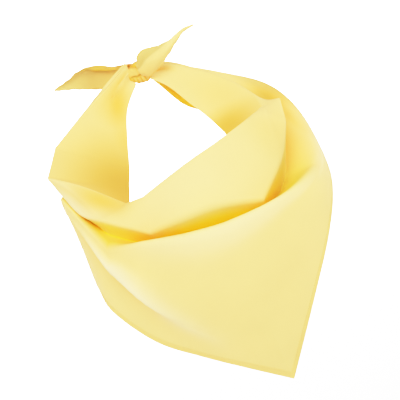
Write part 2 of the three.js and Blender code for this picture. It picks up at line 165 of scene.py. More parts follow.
# The two loose corners, from the knot to the point. along and rise are shares of the length, back of the
# width, half of the width on each side of the middle, cup how far the middle is pressed in, seam where the
# upper layer starts (-1 the lower edge, 1 the upper) and step how far that layer stands in front.
TAIL_COLUMNS = ("along", "rise", "back", "half", "cup", "seam", "step")
LEFT_TAIL = [dict(zip(TAIL_COLUMNS, row)) for row in (
    (0.00, 0.05, 0.05, 0.22, 0.10, 0.50, 0.04),
    (0.10, 0.06, 0.32, 0.28, 0.12, 0.45, 0.06),
    (0.21, 0.03, 0.78, 0.38, 0.20, 0.40, 0.10),
    (0.35, 0.025, 1.12, 0.54, 0.28, 0.38, 0.12),
    (0.48, 0.07, 1.18, 0.53, 0.26, 0.50, 0.10),
    (0.59, 0.12, 1.04, 0.48, 0.22, 0.75, 0.04),
    (0.70, 0.155, 0.82, 0.38, 0.18, 0.95, 0.00),
    (0.81, 0.175, 0.61, 0.22, 0.10, 0.95, 0.00),
    (0.92, 0.20, 0.39, 0.11, 0.04, 0.95, 0.00),
    (1.00, 0.22, 0.21, 0.04, 0.00, 0.95, 0.00),
)]
RIGHT_TAIL = [dict(zip(TAIL_COLUMNS, row)) for row in (
    (0.00, 0.06, -0.44, 0.30, -0.14, 0.30, -0.12),
    (0.09, 0.08, -0.50, 0.50, -0.20, 0.30, -0.14),
    (0.19, 0.14, -0.54, 0.57, -0.24, 0.30, -0.16),
    (0.31, 0.155, -0.54, 0.47, -0.25, 0.50, -0.12),
    (0.46, 0.18, -0.38, 0.30, -0.20, 0.70, -0.08),
    (0.62, 0.23, -0.23, 0.16, -0.10, 0.95, 0.00),
    (0.80, 0.295, -0.04, 0.09, -0.04, 0.95, 0.00),
    (0.98, 0.29, 0.15, 0.05, 0.00, 0.95, 0.00),
)]
# How sharp the upper layer's edge is and how far its painted warm shade and its painted shade reach, in
# half widths.
SEAM_EDGE, SEAM_WARM_SHADE, SEAM_SHADE = 0.05, 0.5, 0.9
# How many rows of the tables the painted warm shade by the knot reaches along a loose corner, how strong
# each painted light is there (warm shade by the knot and beside the seam, bounce light beside it, shade under
# it and over the corner behind), how strong the step is for the full painted shade, and the steps along and
# across.
TAIL_ROOT = 2.4
ROOT_WARM_SHADE, LAYER_WARM_SHADE, LAYER_BOUNCE_LIGHT, UNDER_SHADE, BEHIND_SHADE = 0.3, 0.15, 0.5, 0.55, 0.40
FULL_STEP = 0.1
TAIL_STEPS, TAIL_ACROSS, TAIL_RIM = 9, 40, 3

# The knot: its place beside and in front of the nape and up it, and the steps round it and along it.
KNOT_ASIDE, KNOT_INTO, KNOT_UP = 2 * MM, 2 * MM, 0.91
KNOT_ROUND, KNOT_ALONG = 96, 56
# Its relief in millimetres: the wraps, their fine creases, the crease in front, the pleats under it, and how
# far all of it is set in.
WRAPS, FINE, GROOVE, PLEATS, SET_IN = 2.2, 1.2, 2.0, 1.0, 0.5

# One stitch of the hem: where along it, the thread's share of its full girth, and how far it stands out.
STITCH_SHAPE = ((0.0, 0.35, 0.0), (0.15, 0.85, 0.35), (0.5, 1.0, 0.5), (0.85, 0.85, 0.35), (1.0, 0.35, 0.0))
THREAD_SIDES = 6

# The lights: where each stands, what it faces, its side, its spread in degrees, and the setting and share
# that give its power.
LIGHT_COLUMNS = ("name", "place", "aim", "side", "spread", "setting", "share")
LIGHTS = [dict(zip(LIGHT_COLUMNS, row)) for row in (
    ("key", (0.05, -1.35, 1.5), (0, 0, -0.05), 1.0, 180, "key", 1.0),
    ("softbox_left", (-1.7, -0.8, 0.45), (0, 0, -0.05), 1.1, 180, "key", 0.58),
    ("softbox_right", (1.7, -0.7, 0.35), (0, 0, -0.05), 1.1, 180, "key", 0.62),
    ("floor_wash", (0.0, 3.6, 1.6), (0, 4.2, -0.95), 3.0, 150, "wash", 1.0),
)]

# The photograph's view: degrees it is turned in the picture and raised, the picture's side and the middle of
# the neck opening in pixels, and the size of a pixel at the object.
ROLL, RAISED = 25, 20
PICTURE, NECK_AT = 400, (168, 137)
PIXEL = 1.15 * MM
SENSOR = 36


def linear(code):
    """A colour written as sRGB hex, in linear light."""
    channels = [int(code[i:i + 2], 16) / 255 for i in (0, 2, 4)]
    return tuple(c / 12.92 if c <= 0.04045 else ((c + 0.055) / 1.055) ** 2.4 for c in channels)


def size(name, default, description):
    return FloatProperty(name=name, description=description, default=default, min=0.0, unit="LENGTH")


def power(name, default, description):
    return FloatProperty(name=name, description=description, default=default, min=0.0, unit="POWER")


def colour(name, code, description):
    return FloatVectorProperty(
        name=name, description=description, default=linear(code), subtype="COLOR", size=3, min=0.0, max=1.0
    )


class ClothSizes(bpy.types.PropertyGroup):
    """Sizes of the cloth as it lies round the neck."""

    opening_radius: size("Opening radius", 64 * MM, "Radius of the open neck")
    collar_flare: size("Collar flare", 50 * MM, "How far the collar stands out from the neck")
    nape_rise: size("Nape rise", 70 * MM, "Height of the knot over the middle of the neck")
    turn_in: size("Turn in", 60 * MM, "Depth of cloth turned in at the neck")
    collar_height: size("Collar height", 75 * MM, "Height of the collar in front")
    fold_depth: size("Fold depth", 40 * MM, "Depth of the fold under the collar")
    bib_swing: size("Point swing", 30 * MM, "How far the hanging point swings out and in")
    bib_drop: size("Point drop", 225 * MM, "Length of the hanging point")
    bend_radius: size("Bend radius", 9 * MM, "Radius of the cloth at a soft fold")
    crease_height: size("Crease height", 9 * MM, "Height of the largest crease")
    pleat_height: size("Pleat height", 1.4 * MM, "Height of the gathers at the knot")
    thickness: size("Thickness", 0.8 * MM, "Thickness of the cloth, drawn a little full")
    hem_width: size("Hem width", 9 * MM, "Width of the turned hem")


class KnotSizes(bpy.types.PropertyGroup):
    """Sizes of the knot and its loose corners."""

    width: size("Width", 32 * MM, "Width of the knot from side to side")
    depth: size("Depth", 24 * MM, "Depth of the knot from front to back")
    height: size("Height", 25 * MM, "Height of the knot")
    left_length: size("Left tail length", 100 * MM, "Length of the corner behind the left band")
    left_width: size("Left tail width", 28 * MM, "Width of the left corner")
    right_length: size("Right tail length", 82 * MM, "Length of the corner that points up")
    right_width: size("Right tail width", 26 * MM, "Width of the right corner")


class StitchSizes(bpy.types.PropertyGroup):
    """Sizes of the hem stitching."""

    pitch: size("Pitch", 3.0 * MM, "Distance from stitch to stitch")
    length: size("Length", 2.3 * MM, "Length of thread that shows in one stitch")
    thread: size("Thread", 0.45 * MM, "Thickness of the sewing thread")


class Finish(bpy.types.PropertyGroup):
    """Colours of the cloth, of the light and shade painted on it, and of the stage."""

    cotton: colour("Cotton", "FDE089", "Pale yellow dyed cotton")
    # pale is a painted highlight: a paler colour laid where ridges and fold edges face the light.
    pale: colour("Cotton drawn over a fold", "FFF1B6", "The same cotton where the stretched weave looks paler")
    # deep is painted bounce light: the colour of light going round many times in the fold.
    deep: colour("Cotton deep in a fold", "FDE80F", "The same cotton where light goes round many times")
    # Painted warm shade, where light goes from one layer to the next.
    painted_warm_shade: colour("Cotton between layers", "FCBC3A", "The same cotton where two layers colour each other")
    shade: colour("Cotton in shade", "C09E45", "The same cotton where a layer keeps light out")
    hem: colour("Turned hem", "FCD97A", "The cotton where it is double at the hem")
    thread: colour("Thread", "EBD078", "Sewing thread of the hem")
    floor: colour("Floor", "E8E8E6", "Pale studio floor")


class StageSettings(bpy.types.PropertyGroup):
    """The studio round the object."""

    floor_depth: size("Floor depth", 0.95, "How far the floor lies under the neck opening")
    floor_size: size("Floor size", 24.0, "Side of the floor")
    camera_distance: size("Camera distance", 2.0, "From the camera to the object")
    world: FloatProperty(name="Sky", description="Strength of the even light", default=0.6, min=0.0)
    key: power("Key", 39.0, "Power of the front softbox")
    wash: power("Wash", 700.0, "Power of the floor's light")


# The camera's response: light in the scene against what the picture shows, soft towards white.
FILM_RANGE = 3.0
FILM_CURVE = ((0.3, 0.3), (0.5, 0.48), (0.8, 0.69), (1.1, 0.81), (1.5, 0.90), (2.0, 0.96), (2.5, 0.99))


# --- Curves and grids ---------------------------------------------------------------------------------


def smooth(t):
    t = np.clip(t, 0.0, 1.0)
    return t * t * (3 - 2 * t)


def hill(value, middle, reach):
    """1 at the middle, and soon 0 beyond the reach."""
    return np.exp(-((value - middle) / reach) ** 2)


def centripetal(points, steps):
    """A smooth line through points, with so many steps between each two, that doesn't overshoot."""
    points = [np.asarray(p, float) for p in points]
    padded = [2 * points[0] - points[1], *points, 2 * points[-1] - points[-2]]
    line = [points[0]]
    for i in range(1, len(padded) - 2):
        a, b, c, d = padded[i - 1:i + 3]
        gaps = [max(np.linalg.norm(q - p), 1e-9) ** 0.5 for p, q in ((a, b), (b, c), (c, d))]
        leave = (b - a) / gaps[0] - (c - a) / (gaps[0] + gaps[1]) + (c - b) / gaps[1]
        reach = (c - b) / gaps[1] - (d - b) / (gaps[1] + gaps[2]) + (d - c) / gaps[2]
        leave, reach = leave * gaps[1], reach * gaps[1]
        for k in range(1, steps + 1):
            t = k / steps
            line.append(
                b * (2 * t ** 3 - 3 * t ** 2 + 1) + leave * (t ** 3 - 2 * t ** 2 + t)
                + c * (3 * t ** 2 - 2 * t ** 3) + reach * (t ** 3 - t ** 2)
            )
    return line


def grid_normals(grid):
    """Normals of a grid of points, from the lines that cross at each."""
    across = np.gradient(grid, axis=0)
    along = np.gradient(grid, axis=1)
    normals = np.cross(along, across)
    return normals / np.maximum(np.linalg.norm(normals, axis=2, keepdims=True), 1e-12)


def fold_points(row, cloth):
    """The seven fold lines' points at one section."""
    turn = math.radians(row["turn"])
    inner_out = row["inner_out"] * cloth.opening_radius
    out = inner_out + row["neck_out"] * cloth.collar_flare
    up = row["neck_up"] * cloth.nape_rise
    places = [(inner_out, up - row["inner_down"] * cloth.turn_in), (out, up)]
    for line, out_size, down_size in (
        ("collar", cloth.collar_flare, cloth.collar_height),
        ("tuck", cloth.fold_depth, cloth.fold_depth),
        ("ridge", cloth.fold_depth, cloth.fold_depth),
        ("belly", cloth.bib_swing, cloth.bib_drop),
        ("hem", cloth.bib_swing, cloth.bib_drop),
    ):
        out += row[line + "_out"] * out_size
        up -= row[line + "_down"] * down_size
        places.append((out, up))
    return [np.array((o * math.sin(turn), -o * math.cos(turn), z)) for o, z in places]


def fold_line(points, line):
    """One fold line round the neck, broken at the sections that name it as their corner."""
    breaks = [i for i, row in enumerate(SECTIONS) if line in row["corner"].split()]
    ends = [0, *breaks, len(SECTIONS) - 1]
    path = [points[0]]
    for first, last in zip(ends, ends[1:]):
        path += centripetal(points[first:last + 1], STEPS_PER_SECTION)[1:]
    return path


def cloth_path(points, soft, cloth):
    """The cloth's path at one place round the neck: runs between the fold lines and a bend at each."""
    path = [points[0]]
    start = points[0]
    for j, line in enumerate(LINES[1:-1], start=1):
        reach = BENDS[line] * cloth.bend_radius * (1 if line == "belly" else soft)
        back, ahead = points[j - 1] - points[j], points[j + 1] - points[j]
        back_length, ahead_length = np.linalg.norm(back), np.linalg.norm(ahead)
        into = points[j] + back * min(reach / back_length, MOST_OF_RUN)
        out_of = points[j] + ahead * min(reach / ahead_length, MOST_OF_RUN)
        for k in range(1, RUN_STEPS[line] + 1):
            path.append(start + (into - start) * k / RUN_STEPS[line])
        for k in range(1, BEND_STEPS + 1):
            t = k / BEND_STEPS
            path.append(into * (1 - t) ** 2 + points[j] * 2 * t * (1 - t) + out_of * t ** 2)
        start = out_of
    hem = points[-1]
    run = hem - start
    stitch_line = hem - run * min(cloth.hem_width / np.linalg.norm(run), MOST_OF_RUN)
    for k in range(1, RUN_STEPS["hem"] + 1):
        path.append(start + (stitch_line - start) * k / RUN_STEPS["hem"])
    for k in range(1, HEM_STEPS + 1):
        path.append(stitch_line + (hem - stitch_line) * k / HEM_STEPS)
    return path


def row_places():
    """Each grid row's place among the fold lines: 0 at the inner edge, 1 at the neck edge and so on."""
    places = [0.0]
    last = len(LINES) - 1
    for number, line in enumerate(LINES[1:], start=1):
        start, end = places[-1], number - BEND_HALF
        places += [start + (end - start) * k / RUN_STEPS[line] for k in range(1, RUN_STEPS[line] + 1)]
        if number < last:
            places += [end + 2 * BEND_HALF * k / BEND_STEPS for k in range(1, BEND_STEPS + 1)]
    places += [last - BEND_HALF * (1 - k / HEM_STEPS) for k in range(1, HEM_STEPS + 1)]
    return np.array(places)


def crease_shape(crease, turn, place):
    """How high a crease stands at each place, from -1 to 1, and how much of it lies on its low side."""
    span = np.array([
        (crease["to_turn"] - crease["from_turn"]) / DEGREES_PER_LINE, crease["to_line"] - crease["from_line"],
    ])
    offset = ((turn - crease["from_turn"]) / DEGREES_PER_LINE, place - crease["from_line"])
    t = np.clip((offset[0] * span[0] + offset[1] * span[1]) / (span @ span), 0, 1)
    aside = np.hypot(offset[0] - t * span[0], offset[1] - t * span[1])
    fade = np.sin(math.pi * (CREASE_TAPER + (1 - 2 * CREASE_TAPER) * t))
    shape = fade * np.exp(-(aside / crease["width"]) ** crease["crest"])
    if crease["kind"] == "crest":
        return shape, shape
    side = np.tanh((span[1] * offset[0] - span[0] * offset[1]) / np.linalg.norm(span) / LAP_EDGE)
    return shape * side, shape * (1 - side) / 2


def relief(turns, places, cloth):
    """How far the creases and the gathers at the knot lift the cloth, for each column and row."""
    turn, place = np.meshgrid(turns, places, indexing="ij")
    lift = sum(crease["height"] * crease_shape(crease, turn, place)[0] for crease in CREASES)
    near_knot = smooth((np.abs(turn) - GATHER_START) / GATHER_SPAN)
    pleats = near_knot * np.cos(place * PLEATS_PER_LINE * 2 * math.pi)
    return lift * cloth.crease_height + pleats * cloth.pleat_height


def painted_light_tints(turns, places):
    """How strong each kind of painted light and shade is, for each column and row."""
    turn, place = np.meshgrid(turns, places, indexing="ij")
    # Painted bounce light fills the fold under the collar; the listed spots and the creases add the rest.
    inside = np.tanh((place - FOLD_FROM) / FOLD_FADE) - np.tanh((place - FOLD_TO) / FOLD_FADE)
    first, last = FOLD_TURNS
    inside *= np.tanh((turn - first) / FOLD_TURN_FADE) - np.tanh((turn - last) / FOLD_TURN_FADE)
    tints = {kind: np.zeros_like(turn) for kind in ("pale", "painted_warm_shade", "shade")}
    tints["deep"] = FOLD_BOUNCE_LIGHT * inside / 4
    for spot in PAINTED_LIGHT_SPOTS:
        away = np.hypot((turn - spot["turn"]) / spot["turn_reach"], (place - spot["line"]) / spot["line_reach"])
        tints[spot["kind"]] = np.maximum(tints[spot["kind"]], spot["strength"] * np.exp(-(away ** 2)))
    for crease in CREASES:
        given = crease["strength"] * crease_shape(crease, turn, place)[1]
        tints[crease["tint"]] = np.maximum(tints[crease["tint"]], given)
    return tints


def cloth_grid(cloth):
    """The middle surface of the cloth, with the turn of each column and the place of each row."""
    points = [fold_points(row, cloth) for row in SECTIONS]
    lines = [fold_line([p[j] for p in points], line) for j, line in enumerate(LINES)]
    at = np.arange(len(lines[0])) / STEPS_PER_SECTION
    turns, soft = (
        np.interp(at, np.arange(len(SECTIONS)), [row[key] for row in SECTIONS]) for key in ("turn", "soft")
    )
    grid = np.array([cloth_path(column, share, cloth) for column, share in zip(zip(*lines), soft)])
    places = row_places()
    grid = grid + grid_normals(grid) * relief(turns, places, cloth)[:, :, None]
    return grid, turns, places


# --- Meshes -------------------------------------------------------------------------------------------


def add_object(name, mesh, material):
    """Puts a mesh in the scene as the chosen object."""
    mesh.materials.append(material)
    obj = bpy.data.objects.new(name, mesh)
    bpy.context.scene.collection.objects.link(obj)
    bpy.ops.object.select_all(action="DESELECT")
    obj.select_set(True)
    bpy.context.view_layer.objects.active = obj
    return obj


def sheet_object(name, grid, uv, tints, material, thickness):
    """A sheet of cloth on a grid of points, given its thickness, with its own UV map and tints."""
    columns, rows = grid.shape[:2]
    index = np.arange(columns * rows).reshape(columns, rows)
    faces = np.stack(
        [index[:-1, :-1], index[:-1, 1:], index[1:, 1:], index[1:, :-1]], axis=-1
    ).reshape(-1, 4)
    mesh = bpy.data.meshes.new(name)
    mesh.from_pydata(grid.reshape(-1, 3).tolist(), [], faces.tolist())
    layer = mesh.uv_layers.new(name="Cloth")
    layer.data.foreach_set("uv", uv.reshape(-1, 2)[faces.reshape(-1)].astype(np.float32).reshape(-1))
    for key, values in tints.items():
        attribute = mesh.attributes.new(key, "FLOAT", "POINT")
        attribute.data.foreach_set("value", values.astype(np.float32).reshape(-1))
    obj = add_object(name, mesh, material)
    solidify = obj.modifiers.new("Thickness", "SOLIDIFY")
    solidify.thickness = thickness
    solidify.offset = 0.0
    bpy.ops.object.modifier_apply(modifier=solidify.name)
    bpy.ops.object.shade_smooth_by_angle(angle=math.radians(50))
    return obj


def mesh_object(name, vertices, faces, material, smooth_angle):
    """A closed mesh as an object, smooth but for its sharp edges."""
    mesh = bpy.data.meshes.new(name)
    mesh.from_pydata([tuple(v) for v in vertices], [], faces)
    obj = add_object(name, mesh, material)
    bpy.ops.object.shade_smooth_by_angle(angle=math.radians(smooth_angle))
    return obj


def flat_map(grid):
    """Places on the flat cloth, in metres, measured along the grid's own lines."""
    along = np.linalg.norm(np.diff(grid, axis=1), axis=2)
    along = np.concatenate([np.zeros((len(grid), 1)), along.cumsum(axis=1)], axis=1)
    middle = grid.shape[1] // 2
    across = np.linalg.norm(np.diff(grid[:, middle], axis=0), axis=1)
    across = np.concatenate([[0.0], across.cumsum()])
    return np.stack([np.broadcast_to(across[:, None], along.shape), along], axis=-1)


# --- Materials ----------------------------------------------------------------------------------------


def add_node(tree, kind, links=(), **settings):
    """Adds a node, sets its sockets and settings by name and links what feeds it."""
    node = tree.nodes.new(kind)
    for key, value in settings.items():
        if key in node.inputs:
            node.inputs[key].default_value = value
        else:
            setattr(node, key, value)
    for socket, source in links:
        tree.links.new(source, node.inputs[socket])
    return node


def wave_scale(length):
    """A wave texture's scale for bands this far apart."""
    return 2 * math.pi / 20 / length


def cotton_material(name, finish, base):
    """Plain-weave cotton, piece-dyed: matt, a little sheen, lets some light through, and has painted light and
    shade mixed into its colour.
    """
    material = bpy.data.materials.new(name)
    material.use_nodes = True
    tree = material.node_tree
    tree.nodes.clear()
    uv = add_node(tree, "ShaderNodeUVMap", uv_map="Cloth")
    dye = add_node(
        tree, "ShaderNodeTexNoise", [("Vector", uv.outputs["UV"])], Scale=14.0, Detail=3.0, Roughness=0.55
    )
    uneven = add_node(
        tree, "ShaderNodeMapRange", [("Value", dye.outputs["Fac"])],
        **{"From Min": 0.3, "From Max": 0.7, "To Min": 0.965, "To Max": 1.02},
    )
    # Mixes into the dyed colour, as strong as each attribute: the doubled hem, then the painted highlight,
    # painted bounce light, painted warm shade and painted shade.
    tone = None
    for kind, tint in (
        ("hem", finish.hem), ("pale", finish.pale), ("deep", finish.deep), ("painted_warm_shade", finish.painted_warm_shade),
        ("shade", finish.shade),
    ):
        share = add_node(tree, "ShaderNodeAttribute", attribute_name=kind)
        mixed = add_node(tree, "ShaderNodeMix", data_type="RGBA")
        tree.links.new(share.outputs["Fac"], mixed.inputs[0])
        mixed.inputs[6].default_value = (*base, 1.0)
        mixed.inputs[7].default_value = (*tint, 1.0)
        if tone:
            tree.links.new(tone, mixed.inputs[6])
        tone = mixed.outputs[2]
    dyed = add_node(
        tree, "ShaderNodeVectorMath",
        [(0, tone), ("Scale", uneven.outputs["Result"])], operation="SCALE",
    )
    # Warp and weft every 0.5 mm: real poplin has a thread every 0.25 mm, finer than a render can show.
    threads = []
    for direction in ("X", "Y"):
        threads.append(add_node(
            tree, "ShaderNodeTexWave", [("Vector", uv.outputs["UV"])],
            wave_type="BANDS", bands_direction=direction, Scale=wave_scale(0.5 * MM),
            Distortion=0.6, Detail=1.0,
        ))
    woven = add_node(
        tree, "ShaderNodeMath",
        [(0, threads[0].outputs["Fac"]), (1, threads[1].outputs["Fac"])], operation="MULTIPLY",
    )
    bump = add_node(
        tree, "ShaderNodeBump", [("Height", woven.outputs["Value"])], Strength=0.12, Distance=0.1 * MM
    )
    body = add_node(
        tree, "ShaderNodeBsdfPrincipled",
        [("Base Color", dyed.outputs["Vector"]), ("Normal", bump.outputs["Normal"])],
        **{"Roughness": 0.82, "Specular IOR Level": 0.15, "Sheen Weight": 0.06, "Sheen Roughness": 0.5},
    )
    through = add_node(
        tree, "ShaderNodeBsdfTranslucent",
        [("Color", dyed.outputs["Vector"]), ("Normal", bump.outputs["Normal"])],
    )
    mixed = add_node(
        tree, "ShaderNodeMixShader", [(1, body.outputs["BSDF"]), (2, through.outputs["BSDF"])], Fac=0.2
    )
    add_node(tree, "ShaderNodeOutputMaterial", [("Surface", mixed.outputs["Shader"])])
    return material


def thread_material(name, code):
    """Spun polyester sewing thread: two plies twisted, a little glossier than the cloth."""
    material = bpy.data.materials.new(name)
    material.use_nodes = True
    tree = material.node_tree
    tree.nodes.clear()
    place = add_node(tree, "ShaderNodeTexCoord")
    plies = add_node(
        tree, "ShaderNodeTexWave", [("Vector", place.outputs["Object"])],
        wave_type="BANDS", bands_direction="DIAGONAL", Scale=wave_scale(0.6 * MM),
    )
    tone = add_node(tree, "ShaderNodeMapRange", [("Value", plies.outputs["Fac"])], **{"To Min": 0.85})
    dyed = add_node(tree, "ShaderNodeVectorMath", [("Scale", tone.outputs["Result"])], operation="SCALE")
    dyed.inputs[0].default_value = code
    body = add_node(
        tree, "ShaderNodeBsdfPrincipled", [("Base Color", dyed.outputs["Vector"])],
        **{"Roughness": 0.6, "Sheen Weight": 0.1},
    )
    add_node(tree, "ShaderNodeOutputMaterial", [("Surface", body.outputs["BSDF"])])
    return material


def material_named(name, make):
    return bpy.data.materials.get(name) or make(name)


def main_cotton(scene):
    finish = scene.neckerchief_finish
    return material_named(
        "Cotton poplin, piece-dyed pale yellow",
        lambda name: cotton_material(name, finish, finish.cotton),
    )


def hem_cotton(scene):
    finish = scene.neckerchief_finish
    return material_named(
        "Cotton poplin, turned double at the hem",
        lambda name: cotton_material(name, finish, finish.hem),
    )


# --- Pieces -------------------------------------------------------------------------------------------


def tip_column():
    """The grid's column at the hanging point."""
    return next(i for i, row in enumerate(SECTIONS) if "hem" in row["corner"]) * STEPS_PER_SECTION


class NECKERCHIEF_OT_cloth(bpy.types.Operator):
    """Lays the hemmed triangle of cloth round the neck"""

    bl_idname = "neckerchief.cloth"
    bl_label = "Cloth"
    bl_options = {"REGISTER", "UNDO"}

    def execute(self, context):
        cloth = context.scene.neckerchief_cloth
        grid, turns, places = cloth_grid(cloth)
        hem_band = np.tile(places >= len(LINES) - 1 - BEND_HALF, (len(turns), 1)).astype(float)
        obj = sheet_object(
            "scarf_cloth", grid, flat_map(grid), {**painted_light_tints(turns, places), "hem": hem_band},
            main_cotton(context.scene), cloth.thickness,
        )
        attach(obj, "root")
        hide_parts("scarf_body")
        return {"FINISHED"}


class NECKERCHIEF_OT_hems(bpy.types.Operator):
    """Turns the two short edges under as hems"""

    bl_idname = "neckerchief.hems"
    bl_label = "Hems"
    bl_options = {"REGISTER", "UNDO"}

    def execute(self, context):
        cloth = context.scene.neckerchief_cloth
        grid, _, _ = cloth_grid(cloth)
        normals = grid_normals(grid)
        tip = tip_column()
        gap = cloth.thickness / 2 + 0.35 * MM
        strip = slice(-HEM_STEPS - 1, None)
        for name, node, first, last in (
            ("hem_strip_left", "hem_left", STEPS_PER_SECTION, tip),
            ("hem_strip_right", "hem_right", tip + 1, len(grid) - STEPS_PER_SECTION),
        ):
            columns = slice(first, last)
            inside = grid[columns, strip] - normals[columns, strip] * (gap + cloth.thickness / 2)
            ones = np.ones(inside.shape[:2])
            obj = sheet_object(
                name, inside, flat_map(inside), {"hem": ones},
                hem_cotton(context.scene), cloth.thickness,
            )
            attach(obj, "root")
            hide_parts(node)
        return {"FINISHED"}


class NECKERCHIEF_OT_stitches(bpy.types.Operator):
    """Sews the hems with a row of stitches"""

    bl_idname = "neckerchief.stitches"
    bl_label = "Hem stitches"
    bl_options = {"REGISTER", "UNDO"}

    def execute(self, context):
        cloth, stitch = context.scene.neckerchief_cloth, context.scene.neckerchief_stitch
        grid, _, _ = cloth_grid(cloth)
        normals = grid_normals(grid)
        tip = tip_column()
        thread = material_named(
            "Sewing thread, spun polyester",
            lambda name: thread_material(name, context.scene.neckerchief_finish.thread),
        )
        row = -HEM_STEPS - 1
        for name, first, last in (
            ("stitches_left", STEPS_PER_SECTION, tip),
            ("stitches_right", tip + 1, len(grid) - STEPS_PER_SECTION),
        ):
            line, up = grid[first:last, row], normals[first:last, row]
            lengths = np.concatenate([[0], np.linalg.norm(np.diff(line, axis=0), axis=1).cumsum()])
            vertices, faces = [], []
            for start in np.arange(stitch.pitch, lengths[-1] - stitch.pitch, stitch.pitch):
                base = len(vertices)
                for k, (share, girth, lift) in enumerate(STITCH_SHAPE):
                    at = start + share * stitch.length
                    centre = np.array([np.interp(at, lengths, line[:, a]) for a in range(3)])
                    beyond = np.array([np.interp(at + 1 * MM, lengths, line[:, a]) for a in range(3)])
                    out = np.array([np.interp(at, lengths, up[:, a]) for a in range(3)])
                    ahead = (beyond - centre) / max(np.linalg.norm(beyond - centre), 1e-9)
                    side = np.cross(ahead, out)
                    centre = centre + out * (cloth.thickness / 2 + stitch.thread * (lift - 0.25))
                    for s in range(THREAD_SIDES):
                        angle = 2 * math.pi * s / THREAD_SIDES
                        spoke = side * math.cos(angle) + out * math.sin(angle)
                        vertices.append(centre + spoke * stitch.thread / 2 * girth)
                        if k:
                            a = base + (k - 1) * THREAD_SIDES + s
                            b = base + (k - 1) * THREAD_SIDES + (s + 1) % THREAD_SIDES
                            faces.append((a, b, b + THREAD_SIDES, a + THREAD_SIDES))
                end = base + (len(STITCH_SHAPE) - 1) * THREAD_SIDES
                faces.append(tuple(base + s for s in reversed(range(THREAD_SIDES))))
                faces.append(tuple(end + s for s in range(THREAD_SIDES)))
            obj = mesh_object(name, vertices, faces, thread, 80)
            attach(obj, "root")
        return {"FINISHED"}


def knot_place(context):
    """The middle of the knot."""
    cloth, knot = context.scene.neckerchief_cloth, context.scene.neckerchief_knot
    return np.array((
        KNOT_ASIDE, cloth.opening_radius + knot.depth / 2 - KNOT_INTO, cloth.nape_rise * KNOT_UP,
    ))


def knot_grid(knot, place):
    """The knot's surface along and round it, with its wraps, front crease and pleats, and the shade painted on
    it.
    """
    half = np.array((knot.width, knot.depth, knot.height)) / 2
    along = np.linspace(0.02, math.pi - 0.02, KNOT_ALONG)
    around = np.linspace(0, 2 * math.pi, KNOT_ROUND + 1)
    a, r = np.meshgrid(along, around, indexing="ij")
    front = r - 1.5 * math.pi
    ridge = np.abs(np.cos((3 * a + 0.9 * np.sin(r) + 2 * r) / 2)) ** 0.7 * 2 - 1
    fine = 0.3 * np.cos(9 * a + 3 * np.sin(2 * r)) + 0.2 * np.cos(17 * a - 2 * r)
    groove = hill(front, 0.05 * np.cos(7 * a), 0.10) * hill(a, 1.2, 0.75)
    pleat = np.abs(np.sin(11 * a + 1.5 * front)) ** 0.6
    wraps = (WRAPS * ridge * (1 - 0.6 * hill(front, -0.3, 0.8)) + fine * FINE) * np.sin(a)
    wraps = (wraps - GROOVE * groove + PLEATS * (pleat * hill(front, -0.55, 0.45)) - SET_IN) * MM
    swell = np.sin(a) ** 0.75
    grid = np.stack([
        -half[0] * np.cos(a),
        (half[1] + wraps) * swell * np.sin(r),
        (half[2] + wraps) * swell * np.cos(r),
    ], axis=-1) + place
    # Painted warm shade over the whole knot, less on the wraps' crests and more in the crease in front and
    # between the pleats under it; painted shade in that crease and between the pleats.
    between = hill(front, -0.55, 0.5) * (1 - pleat)
    return grid, {
        "painted_warm_shade": np.clip(0.85 - 0.35 * ridge + between + groove, 0, 1),
        "shade": np.clip(groove * 0.9 + between * 0.4, 0, 1),
    }


class NECKERCHIEF_OT_knot(bpy.types.Operator):
    """Ties the knot at the nape"""

    bl_idname = "neckerchief.knot"
    bl_label = "Knot"
    bl_options = {"REGISTER", "UNDO"}

    def execute(self, context):
        knot = context.scene.neckerchief_knot
        place = knot_place(context)
        grid, tints = knot_grid(knot, place)
        vertices = [grid[0].mean(axis=0), grid[-1].mean(axis=0), *grid[:, :-1].reshape(-1, 3)]
        index = 2 + np.arange(KNOT_ALONG * KNOT_ROUND).reshape(KNOT_ALONG, KNOT_ROUND)
        index = np.concatenate([index, index[:, :1]], axis=1).tolist()
        faces = []
        for j in range(KNOT_ROUND):
            faces.append((0, index[0][j], index[0][j + 1]))
            faces.append((1, index[-1][j + 1], index[-1][j]))
            for near, far in zip(index, index[1:]):
                faces.append((near[j], far[j], far[j + 1], near[j + 1]))
        obj = mesh_object("knot_wraps", vertices, faces, main_cotton(context.scene), 70)
        mesh = obj.data
        layer = mesh.uv_layers.new(name="Cloth")
        corner = np.zeros(len(mesh.loops), np.int32)
        mesh.loops.foreach_get("vertex_index", corner)
        co = np.array([v.co for v in mesh.vertices])[corner]
        turned = np.arctan2(co[:, 1] - place[1], co[:, 2] - place[2]) * knot.height / 2
        layer.data.foreach_set("uv", np.stack([co[:, 0], turned], axis=-1).astype(np.float32).reshape(-1))
        for key, values in tints.items():
            values = np.concatenate([[0, 0], values[:, :-1].reshape(-1)]).astype(np.float32)
            mesh.attributes.new(key, "FLOAT", "POINT").data.foreach_set("value", values)
        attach(obj, "root")
        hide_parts("knot")
        return {"FINISHED"}


